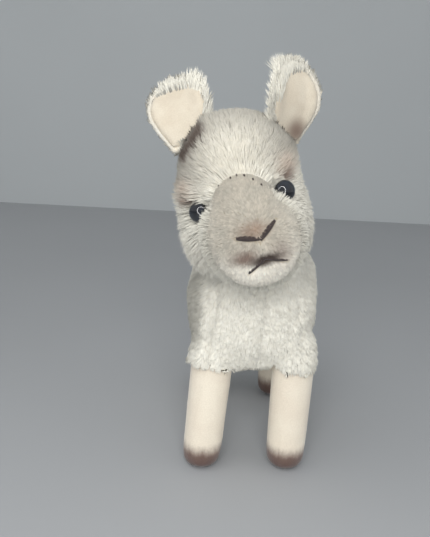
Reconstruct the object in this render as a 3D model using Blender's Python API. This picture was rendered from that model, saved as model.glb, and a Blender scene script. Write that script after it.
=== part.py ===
"""Plush alpaca that stands on four straight legs with its head tilted to one side.

Every sewn and stuffed form is one solid. Solids that are sewn together keep a narrow seam gap.
The toy faces -Y, +Z is up and the soles lie on Z = 0. Its own left side is at +X.
"""
import math

import bmesh
import bpy
from mathutils import Matrix, Vector
from mathutils.bvhtree import BVHTree

# Lengths are in metres and angles in degrees.
SEAM_GAP = 0.0003

# Body: one stuffed cover from the rump to the top of the neck
LEG_LENGTH = 0.069
TORSO_HEIGHT = 0.083
TORSO_WIDTH = 0.084
CHEST_OVERHANG = 0.0165
RUMP_OVERHANG = 0.031
RUMP_ROUNDING = 0.040
WITHERS_RADIUS = 0.007
WAIST_SHARE = 0.97
NECK_DEPTH = 0.054
NECK_WIDTH = 0.057
NECK_RISE = 0.006
SLEEVE_THICKNESS = 0.0012
SLEEVE_DROP = 0.0025
SLEEVE_RISE = 0.030

# Legs: velour tubes with a flat sole
LEG_WIDTH = 0.0288
FOOT_WIDTH = 0.0272
SOLE_WIDTH = 0.0160
FOOT_ROUNDING = 0.0100
LEG_SPACING = 0.101
LEG_SPREAD_AT_BODY = 0.052
LEG_SPREAD_AT_FLOOR = 0.0555
LEG_SHIFT = 0.0015
FOOT_SHIFT = -0.0009
RIGHT_FRONT_STEP = 0.0050
LEFT_FRONT_STEP = 0.0018
LEG_SEAT_DEPTH = 0.020

# Head: furry cover, carried by the neck, rolled and turned about the neck's top
HEAD_SINK = 0.012
HEAD_ROLL = 18.0
HEAD_YAW = 1.0
HEAD_WIDTH = 0.0745
HEAD_DEPTH = 0.073
HEAD_HEIGHT = 0.095
HEAD_BASE = 0.006
HEAD_SHIFT = 0.0015
HEAD_LEAD = 0.0020
FEATURE_SHIFT = -0.0018

# Face: short-pile bulge from the forehead seam to the chin
FACE_WIDTH = 0.051
FACE_HEIGHT = 0.059
FACE_REACH = 0.0260
FACE_ROOT = 0.018
FACE_DROP = 0.0295
FACE_ROLL = 7.0

# Places on the face, as shares of its width and height from its middle
EYE_RISE = 0.1975
NOSTRIL_POINT = (0.0176, -0.0593)
RIGHT_NOSTRIL_END = (-0.1863, -0.0119)
LEFT_NOSTRIL_END = (0.1941, 0.0441)
MOUTH_POINT = (0.0235, -0.2356)
RIGHT_MOUTH_END = (-0.1549, -0.3373)
LEFT_MOUTH_END = (0.2275, -0.3153)

# Eyes: plastic domes, each with a shank that holds a washer inside the head
EYE_DIAMETER = 0.0125
EYE_DOME = 0.0044
EYE_RIM = 0.0012
EYE_SPACING = 0.0472
EYE_SHIFT = -0.0017
EYE_FORWARDNESS = 0.9
SHANK_DIAMETER = 0.0045
SHANK_LENGTH = 0.0140
WASHER_DIAMETER = 0.0150
WASHER_THICKNESS = 0.0018
WASHER_DEPTH = 0.0080

# Ears: a furry back and a velour lining sewn into it
EAR_LENGTH = 0.0410
EAR_WIDTH = 0.0375
EAR_THICKNESS = 0.0078
EAR_CUP = 0.0085
EAR_ROOT_DEPTH = 0.0060
LINING_MARGIN = 0.0032
LINING_THICKNESS = 0.0054
LINING_PROUD = 0.0010
RIGHT_EAR_PLACE = -40.0
RIGHT_EAR_LEAN = -2.0
RIGHT_EAR_TURN = 6.0
RIGHT_EAR_TIP_BACK = 32.0
LEFT_EAR_PLACE = 62.0
LEFT_EAR_LEAN = 19.5
LEFT_EAR_TURN = -34.0
LEFT_EAR_TIP_BACK = 0.0
EAR_SETBACK = 0.0060
EAR_CENTRE_HEIGHT = 0.0510

# Tail: a small furry tuft at the top of the rump
TAIL_LENGTH = 0.034
TAIL_WIDTH = 0.018
TAIL_HEIGHT = 0.060
TAIL_ROOT_DEPTH = 0.006
TAIL_SLOPE = 62.0
TAIL_DROOP = 0.003

# Stitches: thick embroidery thread for the nostrils and the mouth
THREAD_DIAMETER = 0.0022
THREAD_LIFT = 0.10
STITCH_GAP = 0.0008

# Points around and along the lofted forms
BODY_SIDES = 28
HEAD_SIDES = 28
FACE_SIDES = 24
LEG_SIDES = 20
EAR_SIDES = 16
TURN_STEPS = 18
THREAD_SIDES = 6
THREAD_POINTS = 5

# Places that follow from the sizes above
BACK_HEIGHT = LEG_LENGTH + TORSO_HEIGHT
FRONT_LEG_Y = -LEG_SPACING / 2
HIND_LEG_Y = LEG_SPACING / 2
CHEST_Y = FRONT_LEG_Y - CHEST_OVERHANG
RUMP_Y = HIND_LEG_Y + RUMP_OVERHANG
EYE_HEIGHT = FACE_DROP + FACE_HEIGHT * EYE_RISE
NECK_BACK_Y = CHEST_Y + NECK_DEPTH
NECK_MIDDLE_Y = CHEST_Y + NECK_DEPTH / 2
BEND_Y = NECK_BACK_Y + WITHERS_RADIUS
BEND_Z = BACK_HEIGHT + WITHERS_RADIUS
HEAD_PIVOT = Vector((HEAD_SHIFT, NECK_MIDDLE_Y, BACK_HEIGHT - HEAD_SINK))

X_AXIS = Vector((1, 0, 0))
Y_AXIS = Vector((0, 1, 0))


# Scene and materials

def clear_scene():
    for item in list(bpy.data.objects):
        bpy.data.objects.remove(item, do_unlink=True)


def make_material(name, colour, roughness, metallic=0.0):
    finish = bpy.data.materials.new(name)
    finish.use_nodes = True
    shader = finish.node_tree.nodes["Principled BSDF"]
    shader.inputs["Base Color"].default_value = (*colour, 1.0)
    shader.inputs["Roughness"].default_value = roughness
    shader.inputs["Metallic"].default_value = metallic
    finish.diffuse_color = (*colour, 1.0)
    return finish


# Loft, turning and thread tools

def blend_rows(rows, steps):
    """Rows of numbers between the given rows, on a smooth curve through them."""
    result = []
    last = len(rows) - 1
    for index in range(last):
        before = rows[max(index - 1, 0)]
        start = rows[index]
        end = rows[index + 1]
        after = rows[min(index + 2, last)]
        for step in range(steps):
            t = step / steps
            row = []
            for a, b, c, d in zip(before, start, end, after):
                bend = (2 * a - 5 * b + 4 * c - d) * t * t + (3 * b - a - 3 * c + d) * t ** 3
                row.append(b + 0.5 * ((c - a) * t + bend))
            result.append(row)
    result.append(list(rows[last]))
    return result


def oval(middle, across, upward, half_width, half_height, power, sides, lower_power=None):
    """Points of a superellipse, round at power 2 and squarer above it."""
    points = []
    for index in range(sides):
        angle = 2 * math.pi * index / sides
        c, s = math.cos(angle), math.sin(angle)
        bend = 2 / (lower_power if lower_power and s < 0 else power)
        width = half_width * math.copysign(abs(c) ** bend, c)
        height = half_height * math.copysign(abs(s) ** bend, s)
        points.append(middle + across * width + upward * height)
    return points


def add_object(name, shape, finish):
    bmesh.ops.recalc_face_normals(shape, faces=shape.faces)
    if shape.calc_volume(signed=True) < 0:
        bmesh.ops.reverse_faces(shape, faces=shape.faces)
    mesh = bpy.data.meshes.new(name)
    shape.to_mesh(mesh)
    shape.free()
    mesh.shade_smooth()
    mesh.set_sharp_from_angle(angle=math.radians(50))
    mesh.materials.append(finish)
    item = bpy.data.objects.new(name, mesh)
    bpy.context.collection.objects.link(item)
    return item


def loft(name, rings, finish, flat_start=False):
    """A closed skin over rings of points, each end closed by a pole or left flat.

    Warped quads are split the same way on a piece and on the room cut for it, so the two keep apart.
    """
    shape = bmesh.new()
    loops = [[shape.verts.new(point) for point in ring] for ring in rings]
    count = len(rings[0])
    for lower, upper in zip(loops, loops[1:]):
        for index in range(count):
            following = (index + 1) % count
            shape.faces.new((lower[index], lower[following], upper[following], upper[index]))
    for loop, flat in ((loops[0], flat_start), (loops[-1], False)):
        cap = shape.faces.new(loop)
        if not flat:
            bmesh.ops.poke(shape, faces=[cap])
    quads = [face for face in shape.faces if len(face.verts) == 4]
    bmesh.ops.triangulate(shape, faces=quads, quad_method="FIXED")
    return add_object(name, shape, finish)


def turned(name, profile, place, finish, closed=False):
    """A solid of revolution about the Z axis of the given place."""
    shape = bmesh.new()
    verts = [shape.verts.new((radius, 0, height)) for radius, height in profile]
    pairs = list(zip(verts, verts[1:]))
    if closed:
        pairs.append((verts[-1], verts[0]))
    edges = [shape.edges.new(pair) for pair in pairs]
    bmesh.ops.spin(
        shape, geom=verts + edges, cent=(0, 0, 0), axis=(0, 0, 1),
        angle=2 * math.pi, steps=TURN_STEPS, use_merge=True)
    bmesh.ops.remove_doubles(shape, verts=shape.verts, dist=0.00001)
    shape.transform(place)
    return add_object(name, shape, finish)


def grown_cutter(item, distance=SEAM_GAP):
    """A hidden copy of a solid, larger all over by a distance, that cuts its neighbours."""
    shape = bmesh.new()
    shape.from_mesh(item.data)
    shape.normal_update()
    moves = [(vert, vert.co + vert.normal * distance * vert.calc_shell_factor()) for vert in shape.verts]
    for vert, place in moves:
        vert.co = place
    mesh = bpy.data.meshes.new(item.name + "_room")
    shape.to_mesh(mesh)
    shape.free()
    cutter = bpy.data.objects.new(item.name + "_room", mesh)
    bpy.context.collection.objects.link(cutter)
    hide_shape(cutter)
    return cutter


def hide_shape(item):
    item.hide_render = True
    item.display_type = "WIRE"


def make_room(item, cutters):
    for cutter in cutters:
        step = item.modifiers.new(cutter.name, "BOOLEAN")
        step.operation = "DIFFERENCE"
        step.solver = "EXACT"
        step.object = cutter


def join_to(item, addition):
    """Make a second solid part of the first, and hide the one that was joined."""
    hide_shape(addition)
    step = item.modifiers.new(addition.name, "BOOLEAN")
    step.operation = "UNION"
    step.solver = "EXACT"
    step.object = addition


def surface_of(item):
    shape = bmesh.new()
    shape.from_mesh(item.data)
    tree = BVHTree.FromBMesh(shape)
    shape.free()
    return tree


def seat_on(tree, start, direction):
    """The place and outward direction where a ray from outside meets a surface."""
    place, normal, _, _ = tree.ray_cast(start, direction.normalized())
    return place, normal


# Body

def body_rings():
    rows = []
    middle_z = LEG_LENGTH + TORSO_HEIGHT / 2
    half_height = TORSO_HEIGHT / 2
    half_width = TORSO_WIDTH / 2
    rump_angles = (12, 28, 45, 64, 90)
    for angle in rump_angles:
        size = math.sin(math.radians(angle)) ** 0.85
        y = RUMP_Y - RUMP_ROUNDING + RUMP_ROUNDING * math.cos(math.radians(angle))
        rows.append((0.0, y, middle_z, half_height * size, half_width * size))
    waist_y = (RUMP_Y - RUMP_ROUNDING + BEND_Y) / 2
    rows.append((0.0, waist_y, middle_z, half_height, half_width * WAIST_SHARE))
    outer_start = TORSO_HEIGHT + WITHERS_RADIUS
    outer_end = NECK_DEPTH + WITHERS_RADIUS
    neck_half = NECK_WIDTH / 2
    bend = (
        (0, 1.00, 1.00), (18, 1.16, 0.97), (30, 1.34, 0.92), (38, 1.20, 0.88),
        (46, 0.84, 0.66), (56, 0.44, 0.20), (72, 0.12, 0.02), (90, 0.00, 0.00))
    for angle, reach, fullness in bend:
        outer = outer_end + (outer_start - outer_end) * reach
        inner = WITHERS_RADIUS
        turn = math.radians(angle)
        distance = (outer + inner) / 2
        y = BEND_Y - distance * math.sin(turn)
        z = BEND_Z - distance * math.cos(turn)
        width = neck_half + (half_width - neck_half) * fullness
        rows.append((angle, y, z, (outer - inner) / 2, width))
    for share, size in ((0.5, 0.90), (1.0, 0.72)):
        rows.append((90, NECK_MIDDLE_Y, BEND_Z + NECK_RISE * share, NECK_DEPTH / 2 * size, neck_half * size))
    rings = []
    for angle, y, z, half_depth, width in blend_rows(rows, 2):
        turn = math.radians(angle)
        inward = Vector((0, math.sin(turn), math.cos(turn)))
        rings.append(oval(Vector((0, y, z)), X_AXIS, inward, width, half_depth, 2.4, BODY_SIDES, 3.4))
    return rings


def leg_middle(side, y, height):
    """The middle of a leg at a height. The front feet are set a little ahead, the right one more."""
    share = height / LEG_LENGTH
    spread = LEG_SPREAD_AT_FLOOR + (LEG_SPREAD_AT_BODY - LEG_SPREAD_AT_FLOOR) * share
    shift = FOOT_SHIFT + (LEG_SHIFT - FOOT_SHIFT) * share
    step = 0.0
    if y < 0:
        step = (LEFT_FRONT_STEP if side > 0 else RIGHT_FRONT_STEP) * (1 - share)
    return Vector((side * spread / 2 + shift, y - step, height))


def sleeve_rings(side, y):
    """The short furry sleeve of the body's cover that ends in a hem round the top of a leg."""
    hem = LEG_LENGTH - SLEEVE_DROP
    radius = LEG_WIDTH / 2 + SLEEVE_THICKNESS
    rings = []
    for share, size in ((0.0, 0.985), (0.08, 1.0), (0.45, 1.0), (0.8, 0.9), (1.0, 0.7)):
        middle = leg_middle(side, y, hem + SLEEVE_RISE * share)
        rings.append(oval(middle, X_AXIS, Y_AXIS, radius * size, radius * size, 2, LEG_SIDES))
    return rings


# Legs

def leg_rings(side, y):
    rows = []
    sole = SOLE_WIDTH / 2
    foot = FOOT_WIDTH / 2
    for angle in (0, 30, 60, 90):
        turn = math.radians(angle)
        radius = sole + (foot - sole) * math.sin(turn)
        rows.append((FOOT_ROUNDING * (1 - math.cos(turn)), radius))
    seat_height = LEG_LENGTH + LEG_SEAT_DEPTH
    rows.append((LEG_LENGTH * 0.55, LEG_WIDTH / 2 * 0.97))
    rows.append((LEG_LENGTH, LEG_WIDTH / 2))
    rows.append((seat_height - LEG_WIDTH * 0.10, LEG_WIDTH / 2 * 0.90))
    rows.append((seat_height, LEG_WIDTH / 2 * 0.55))
    rings = []
    for height, radius in rows:
        middle = leg_middle(side, y, height)
        rings.append(oval(middle, X_AXIS, Y_AXIS, radius, radius, 2, LEG_SIDES))
    return rings


# Head and face

def head_frame():
    """Turns and carries the head's own frame: X to its left, -Y ahead, Z up."""
    roll = Matrix.Rotation(math.radians(-HEAD_ROLL), 4, "Y")
    yaw = Matrix.Rotation(math.radians(HEAD_YAW), 4, "Z")
    return Matrix.Translation(HEAD_PIVOT) @ roll @ yaw


def head_rings(frame):
    shape = (
        (0.000, 0.42, 0.52), (0.035, 0.66, 0.76), (0.105, 0.86, 0.91), (0.210, 0.985, 0.98),
        (0.350, 1.010, 1.00), (0.500, 0.990, 1.00), (0.640, 0.960, 1.00), (0.760, 0.880, 0.93),
        (0.860, 0.740, 0.79), (0.935, 0.535, 0.58), (0.980, 0.315, 0.34), (1.000, 0.120, 0.13))
    rings = []
    for height, width, depth in blend_rows(shape, 1):
        middle = Vector((0, head_middle_y(), HEAD_HEIGHT * height - HEAD_BASE))
        ring = oval(
            middle, X_AXIS, Y_AXIS,
            HEAD_WIDTH / 2 * width, HEAD_DEPTH / 2 * depth, 2.1, HEAD_SIDES)
        rings.append([frame @ point for point in ring])
    return rings


def head_middle_y():
    """The head's middle hangs ahead of the pivot, so that its back lies near the neck's back."""
    return -(HEAD_DEPTH - NECK_DEPTH) / 2 - HEAD_LEAD


def face_rings(frame):
    """Ovals from inside the head out to the tip of the nose, each (share of the way, drop, sizes)."""
    front_y = head_middle_y() - HEAD_DEPTH / 2
    root_y = front_y + FACE_ROOT
    length = FACE_ROOT + FACE_REACH
    shape = (
        (0.00, -0.05, 0.40, 0.42), (0.06, -0.03, 0.62, 0.64), (0.20, -0.01, 0.86, 0.88),
        (0.40, 0.03, 1.00, 1.00), (0.58, 0.07, 1.00, 0.98), (0.72, 0.10, 0.93, 0.885),
        (0.83, 0.115, 0.79, 0.74), (0.91, 0.11, 0.60, 0.56), (0.97, 0.10, 0.35, 0.33),
        (1.00, 0.09, 0.12, 0.12))
    roll = Matrix.Rotation(math.radians(-FACE_ROLL), 4, "Y")
    centre = Vector((FEATURE_SHIFT, 0, FACE_DROP))
    rings = []
    for share, drop, width, height in shape:
        middle = Vector((0, root_y - length * share, -FACE_HEIGHT * drop))
        ring = oval(
            middle, X_AXIS, Vector((0, 0, 1)),
            FACE_WIDTH / 2 * width, FACE_HEIGHT / 2 * height, 2.1, FACE_SIDES)
        rings.append([frame @ (centre + roll @ point) for point in ring])
    return rings


# Eyes

def eye_frame(frame, head_tree, side):
    """On the head's surface, its Z axis outward."""
    ahead = frame.to_3x3() @ Vector((0, 1, 0))
    x = FEATURE_SHIFT + EYE_SHIFT + side * EYE_SPACING / 2
    start = frame @ Vector((x, -HEAD_DEPTH * 2, EYE_HEIGHT))
    place, normal = seat_on(head_tree, start, ahead)
    outward = (normal - ahead * EYE_FORWARDNESS).normalized()
    return Matrix.Translation(place) @ outward.to_track_quat("Z", "Y").to_matrix().to_4x4()


def eye_profile():
    dome_radius = EYE_DIAMETER / 2
    shank_radius = SHANK_DIAMETER / 2
    profile = [(0, -SHANK_LENGTH), (shank_radius * 0.6, -SHANK_LENGTH)]
    profile += [(shank_radius, -SHANK_LENGTH + shank_radius * 0.6), (shank_radius, -EYE_RIM)]
    profile.append((dome_radius * 0.97, -EYE_RIM))
    for step in range(7):
        turn = math.radians(90 * step / 6)
        profile.append((dome_radius * math.cos(turn), EYE_DOME * math.sin(turn)))
    profile[-1] = (0, EYE_DOME)
    return profile


def washer_profile():
    bore = SHANK_DIAMETER / 2 + SEAM_GAP
    outer = WASHER_DIAMETER / 2
    top = -WASHER_DEPTH
    bottom = top - WASHER_THICKNESS
    return [(bore, bottom), (outer, bottom), (outer, top), (bore, top)]


# Ears

def ear_frame(frame, head_tree, place_angle, lean, turn, tip_back):
    """On the head's surface, with Z up along the ear and -Y out of its lining."""
    centre = Vector((0, head_middle_y() + EAR_SETBACK, EAR_CENTRE_HEIGHT))
    direction = Vector((math.sin(math.radians(place_angle)), 0, math.cos(math.radians(place_angle))))
    start = frame @ (centre + direction * HEAD_HEIGHT * 2)
    inward = frame.to_3x3() @ -direction
    seat, _ = seat_on(head_tree, start, inward)
    tilt = Matrix.Rotation(math.radians(lean), 4, "Y") @ Matrix.Rotation(math.radians(-tip_back), 4, "X")
    pose = tilt @ Matrix.Rotation(math.radians(-turn), 4, "Z")
    return Matrix.Translation(seat) @ frame.to_3x3().to_4x4() @ pose


def ear_rings(place, margin, front, back, power):
    """A cupped leaf. Its edges come forward by the cup, and a margin narrows it all round."""
    shape = (
        (0.00, 0.58, 0.20), (0.12, 0.70, 0.50), (0.30, 0.89, 0.85), (0.47, 1.00, 1.00),
        (0.63, 0.98, 1.00), (0.77, 0.86, 1.00), (0.88, 0.67, 0.90), (0.955, 0.43, 0.70),
        (1.00, 0.15, 0.50))
    start = -EAR_ROOT_DEPTH + margin
    length = EAR_LENGTH + EAR_ROOT_DEPTH - 2 * margin
    half_width = EAR_WIDTH / 2 - margin
    rings = []
    for share, width, bend in shape:
        reach = half_width * width
        fullness = 0.45 + 0.55 * math.sin(math.pi * (0.12 + 0.80 * share)) ** 0.8
        ring = []
        for index in range(EAR_SIDES):
            angle = 2 * math.pi * (index + 0.5) / EAR_SIDES
            c, s = math.cos(angle), math.sin(angle)
            x = reach * math.copysign(abs(c) ** (2 / power), c)
            depth = back if s > 0 else front
            bulge = depth * math.copysign(abs(s) ** (2 / power), s) * fullness
            y = bulge - EAR_CUP * bend * (x / (EAR_WIDTH / 2)) ** 2
            ring.append(place @ Vector((x, y, start + length * share)))
        rings.append(ring)
    return rings


def add_ear_piece(name, place, margin, front, behind, power, finish):
    """A piece of an ear, and the hidden room that its neighbours leave for it."""
    piece = loft(name, ear_rings(place, margin, front, behind, power), finish)
    room_rings = ear_rings(
        place, margin - SEAM_GAP, front + SEAM_GAP, behind + SEAM_GAP, power)
    room = loft(name + "_room", room_rings, finish)
    hide_shape(room)
    return piece, room


# Tail

def tail_rings(seat):
    shape = (
        (0.00, 0.50), (0.10, 0.78), (0.30, 0.97), (0.50, 1.00), (0.70, 0.88),
        (0.87, 0.62), (0.96, 0.36), (1.00, 0.14))
    slope = math.radians(TAIL_SLOPE)
    along = Vector((0, math.cos(slope), -math.sin(slope)))
    across = Vector((0, math.sin(slope), math.cos(slope)))
    root = seat - Vector((0, TAIL_ROOT_DEPTH, 0))
    rings = []
    for share, width in shape:
        droop = Vector((0, 0, -TAIL_DROOP)) * share ** 2
        middle = root + along * TAIL_LENGTH * share + droop
        half = TAIL_WIDTH / 2 * width
        rings.append(oval(middle, X_AXIS, across, half, half * 0.8, 2, EAR_SIDES))
    return rings


# Stitches

def add_thread(name, frame, face_tree, start, end, finish):
    """A thread along the face's surface between two places in the head's frame, each across and up."""
    ahead = frame.to_3x3() @ Vector((0, 1, 0))
    count = THREAD_POINTS
    places = []
    for index in range(count):
        share = index / (count - 1)
        x = start[0] + (end[0] - start[0]) * share
        z = start[1] + (end[1] - start[1]) * share
        place, normal = seat_on(face_tree, frame @ Vector((x, -HEAD_DEPTH * 2, z)), ahead)
        places.append(place + normal * THREAD_DIAMETER * THREAD_LIFT)
    rings = []
    for index, place in enumerate(places):
        before = places[max(index - 1, 0)]
        after = places[min(index + 1, count - 1)]
        along = (after - before).normalized()
        outward = (-ahead).cross(along).cross(along).normalized()
        sideways = along.cross(outward)
        for extra, size in end_rounding(index, count):
            middle = place + along * THREAD_DIAMETER / 2 * extra
            radius = THREAD_DIAMETER / 2 * size
            rings.append(oval(middle, sideways, outward, radius, radius, 2, THREAD_SIDES))
    return loft(name, rings, finish)


def end_rounding(index, count):
    """The extra rings that round a thread's two ends."""
    if index == 0:
        return ((-0.75, 0.45), (0.0, 1.0))
    if index == count - 1:
        return ((0.0, 1.0), (0.75, 0.45))
    return ((0.0, 1.0),)


def on_face(shares):
    """Across and up in the head's frame, from shares of the face's width and height."""
    across, up = shares
    return FACE_WIDTH * across, FACE_DROP + FACE_HEIGHT * up


def shorten(start, end, distance):
    """The start moved towards the end, so that two stitches don't meet in one hole."""
    first = Vector(start)
    step = (Vector(end) - first).normalized() * distance
    return tuple(first + step)


# The whole toy

def build():
    clear_scene()
    long_fur = make_material("ivory_fur", (0.74, 0.71, 0.62), 0.95)
    short_pile = make_material("beige_pile", (0.62, 0.55, 0.46), 0.92)
    velour = make_material("cream_velour", (0.84, 0.77, 0.64), 0.90)
    eye_plastic = make_material("black_plastic", (0.012, 0.014, 0.020), 0.08)
    washer_plastic = make_material("white_plastic", (0.80, 0.80, 0.78), 0.45)
    thread = make_material("dark_thread", (0.035, 0.025, 0.022), 0.70)

    body = loft("body", body_rings(), long_fur)
    frame = head_frame()
    head = loft("head", head_rings(frame), long_fur)
    face = loft("face", face_rings(frame), short_pile)
    head_tree = surface_of(head)
    face_tree = surface_of(face)

    body_cutters = [grown_cutter(head)]
    for side_name, side in (("left", 1), ("right", -1)):
        for end_name, y in (("front", FRONT_LEG_Y), ("hind", HIND_LEG_Y)):
            name = end_name + "_" + side_name + "_leg"
            sleeve = loft(name + "_sleeve", sleeve_rings(side, y), long_fur, flat_start=True)
            join_to(body, sleeve)
            leg = loft(name, leg_rings(side, y), velour, flat_start=True)
            body_cutters.append(grown_cutter(leg))

    tail_start = Vector((0, RUMP_Y * 2, LEG_LENGTH + TAIL_HEIGHT))
    tail_seat, _ = seat_on(surface_of(body), tail_start, Vector((0, -1, 0)))
    tail = loft("tail", tail_rings(tail_seat), long_fur)
    body_cutters.append(grown_cutter(tail))

    head_cutters = [grown_cutter(face)]
    face_cutters = []
    for name, side in (("left", 1), ("right", -1)):
        place = eye_frame(frame, head_tree, side)
        eye = turned(name + "_eye", eye_profile(), place, eye_plastic)
        washer = turned(name + "_eye_washer", washer_profile(), place, washer_plastic, closed=True)
        rooms = [grown_cutter(eye), grown_cutter(washer)]
        head_cutters += rooms
        face_cutters += rooms

    ears = (
        ("left", LEFT_EAR_PLACE, LEFT_EAR_LEAN, LEFT_EAR_TURN, LEFT_EAR_TIP_BACK),
        ("right", RIGHT_EAR_PLACE, RIGHT_EAR_LEAN, RIGHT_EAR_TURN, RIGHT_EAR_TIP_BACK))
    half = EAR_THICKNESS / 2
    front = half + LINING_PROUD
    behind = LINING_THICKNESS - front
    for name, *pose in ears:
        place = ear_frame(frame, head_tree, *pose)
        ear, ear_room = add_ear_piece(name + "_ear_back", place, 0.0, half, half, 2.4, long_fur)
        _, lining_room = add_ear_piece(
            name + "_ear_lining", place, LINING_MARGIN, front, behind, 5, velour)
        make_room(ear, [lining_room])
        head_cutters += [ear_room, lining_room]

    apart = THREAD_DIAMETER + STITCH_GAP
    stitches = (
        ("left_nostril_stitch", NOSTRIL_POINT, LEFT_NOSTRIL_END, 0.0),
        ("right_nostril_stitch", NOSTRIL_POINT, RIGHT_NOSTRIL_END, apart),
        ("left_mouth_stitch", MOUTH_POINT, LEFT_MOUTH_END, 0.0),
        ("right_mouth_stitch", MOUTH_POINT, RIGHT_MOUTH_END, apart))
    for name, first, last, distance in stitches:
        start = on_face(first)
        end = on_face(last)
        stitch = add_thread(name, frame, face_tree, shorten(start, end, distance), end, thread)
        face_cutters.append(grown_cutter(stitch))

    make_room(body, body_cutters)
    make_room(head, head_cutters)
    make_room(face, face_cutters)
    centre_on_origin()


def centre_on_origin():
    """Move everything so that the origin is under the middle of the whole toy."""
    graph = bpy.context.evaluated_depsgraph_get()
    low = Vector((math.inf, math.inf, math.inf))
    high = -low
    for item in bpy.context.scene.objects:
        if item.hide_render:
            continue
        mesh = item.evaluated_get(graph).to_mesh()
        for vert in mesh.vertices:
            low = Vector(map(min, low, vert.co))
            high = Vector(map(max, high, vert.co))
    middle = (low + high) / 2
    for item in bpy.context.scene.objects:
        item.location = (-middle.x, -middle.y, 0)


build()
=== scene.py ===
"""Plush alpaca: stuffed covers, combed pile, velour legs, plastic eyes and sewn stitches."""
import math

import bpy
import numpy as np
from mathutils import Matrix, Vector, kdtree
from mathutils.bvhtree import BVHTree


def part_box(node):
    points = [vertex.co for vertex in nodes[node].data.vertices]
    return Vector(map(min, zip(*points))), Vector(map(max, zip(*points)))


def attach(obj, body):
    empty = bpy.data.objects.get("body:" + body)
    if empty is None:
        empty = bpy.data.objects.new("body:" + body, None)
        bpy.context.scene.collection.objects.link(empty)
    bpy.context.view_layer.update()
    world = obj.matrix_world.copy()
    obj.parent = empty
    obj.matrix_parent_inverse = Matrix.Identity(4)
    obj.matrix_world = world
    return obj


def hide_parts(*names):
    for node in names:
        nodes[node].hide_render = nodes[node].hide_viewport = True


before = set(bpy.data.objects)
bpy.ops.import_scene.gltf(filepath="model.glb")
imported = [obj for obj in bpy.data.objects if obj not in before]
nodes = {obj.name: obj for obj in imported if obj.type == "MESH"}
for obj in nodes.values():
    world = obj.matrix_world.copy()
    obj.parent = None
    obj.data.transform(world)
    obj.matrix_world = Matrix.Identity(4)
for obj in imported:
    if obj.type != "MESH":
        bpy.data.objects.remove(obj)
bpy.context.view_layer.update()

SIDES = ("left", "right")

# The camera of the photograph, in metres, degrees and pixels
CAMERA_PLACE = (-0.01173, -0.39187, 0.230)
CAMERA_PITCH = 15.5
CAMERA_ROLL = 3.0
FOCAL_PIXELS = 600
PHOTO_HEIGHT = 537
SENSOR_WIDTH = 36

# Places of the toy, in metres and degrees
MIDDLE_X = 0.01397
HEM_HEIGHT = 0.0665
HEAD_PIVOT = Vector((0.015459, -0.027372, 0.140))
HEAD_ROLL = 18.0
HEAD_YAW = 1.0
HEAD_PLACE = (
    Matrix.Translation(HEAD_PIVOT)
    @ Matrix.Rotation(math.radians(-HEAD_ROLL), 4, "Y")
    @ Matrix.Rotation(math.radians(HEAD_YAW), 4, "Z"))
HEAD_TURN = HEAD_PLACE.to_3x3()
HEAD_ROWS = np.array(HEAD_TURN)
AHEAD_OF_FACE = -0.15
EYE_RADIUS = 0.00625
EYE_DOME = 0.0044
EYE_UNDERSIDE = 0.0012
SHANK_RADIUS = 0.0023
SHANK_LENGTH = 0.014
EAR_POSES = {"left": (19.5, -34.0, 0.0), "right": (-2.0, 6.0, 32.0)}
LINING_FOOT = -0.0028

# Each kind of stitch: how many threads lie side by side, how far they spread, and their radius
NOSTRIL_SEWING = (5, 0.0011, 0.00052)
MOUTH_SEWING = (3, 0.0005, 0.00045)

# Lines on the face and the head, each place across and up in the head's frame
STITCHES = {
    "left_nostril": ((0.0012, 0.0255), (0.0106, 0.0326), NOSTRIL_SEWING),
    "right_nostril": ((0.0010, 0.0262), (-0.0100, 0.0289), NOSTRIL_SEWING),
    "left_mouth": ((0.0006, 0.0158), (0.0122, 0.0106), MOUTH_SEWING),
    "right_mouth": ((0.0014, 0.0154), (-0.0084, 0.0092), MOUTH_SEWING)}
SEAM_ARC = (
    (-0.0158, 0.0525), (-0.0127, 0.0540), (-0.0049, 0.0566), (-0.0015, 0.0569),
    (0.0025, 0.0560), (0.0059, 0.0537), (0.0095, 0.0501), (0.0119, 0.0475))
# The fold at the right ear's root, where brown airbrush and painted shade lie
EAR_FOLD = ((-0.0145, 0.0800), (-0.0195, 0.0756), (-0.0270, 0.0681))
SEAM_STITCHES = (
    (-0.0122, 0.0525), (-0.0052, 0.0552), (-0.0018, 0.0556),
    (0.0018, 0.0548), (0.0055, 0.0522), (0.0088, 0.0488))

# Seams and folds of the chest: the line across and up, how deep it sinks, and how dark its pile is painted
# as shade in its groove
CHEST_LINES = (
    (((0.0192, 0.126), (0.0189, 0.109), (0.0180, 0.092), (0.0168, 0.076)), 0.0018, 0.7),
    (((-0.0080, 0.120), (-0.0095, 0.104), (-0.0119, 0.090), (-0.0130, 0.076)), 0.0026, 1.0),
    (((0.0382, 0.120), (0.0400, 0.108)), 0.0014, 0.5),
    (((0.0425, 0.098), (0.0445, 0.086)), 0.0014, 0.5))

# How covers are cut, closed and stuffed
PLUG_INSET = -0.003
STUFFING_PRESSURE = 4.0
STUFFING_FRAMES = 20
LEGS = ("front_left_leg", "front_right_leg", "hind_left_leg", "hind_right_leg")


# Selecting, copying and finishing objects

def choose(*items):
    """Only these objects are selected, and the first is active."""
    bpy.ops.object.select_all(action="DESELECT")
    for item in items:
        item.select_set(True)
    bpy.context.view_layer.objects.active = items[0]


def edit_all(item):
    """Opens an object in edit mode with all of it selected."""
    choose(item)
    bpy.ops.object.mode_set(mode="EDIT")
    bpy.ops.mesh.select_all(action="SELECT")


def add_object(name, data):
    item = bpy.data.objects.new(name, data)
    bpy.context.scene.collection.objects.link(item)
    return item


def add_step(item, kind, **settings):
    """A modifier with its settings."""
    step = item.modifiers.new(kind.lower(), kind)
    for name, value in settings.items():
        setattr(step, name, value)


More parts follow.
